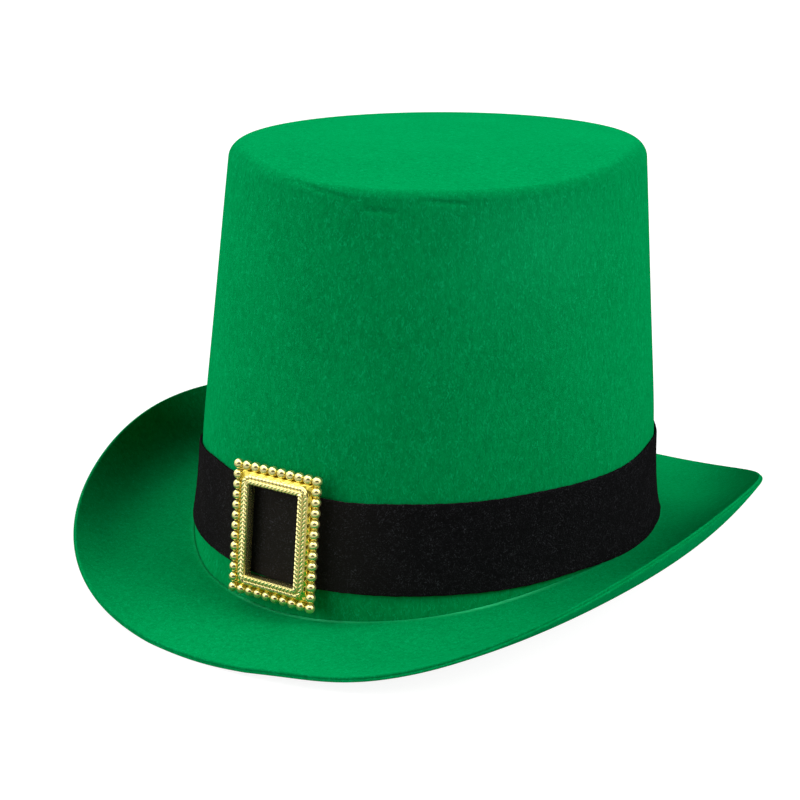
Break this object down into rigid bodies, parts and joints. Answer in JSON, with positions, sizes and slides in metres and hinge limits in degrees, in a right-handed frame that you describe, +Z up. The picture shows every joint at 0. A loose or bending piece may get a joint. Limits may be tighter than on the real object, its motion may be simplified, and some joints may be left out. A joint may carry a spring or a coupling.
{
  "type": "leprechaun hat",
  "caption": "Tall felt hat with a flat-topped tapered crown, curled oval brim, black band and beaded rectangular buckle.",
  "frame": {"origin": "on the surface that the hat rests on, under the middle of the brim", "axes": "+Z up, -Y to the front where the buckle sits, +X to the wearer's left"},
  "size_m": [0.2604, 0.302, 0.1669],
  "materials": {
    "green_felt": "pressed felt, matt with a short soft nap",
    "black_felt": "brushed felt, matt and fibrous",
    "gold_plate": "gold-plated, polished"
  },
  "bodies": {
    "root": {"crown": "green_felt", "brim": "green_felt", "hat_band": "black_felt", "buckle": "gold_plate"}
  },
  "joints": []
}
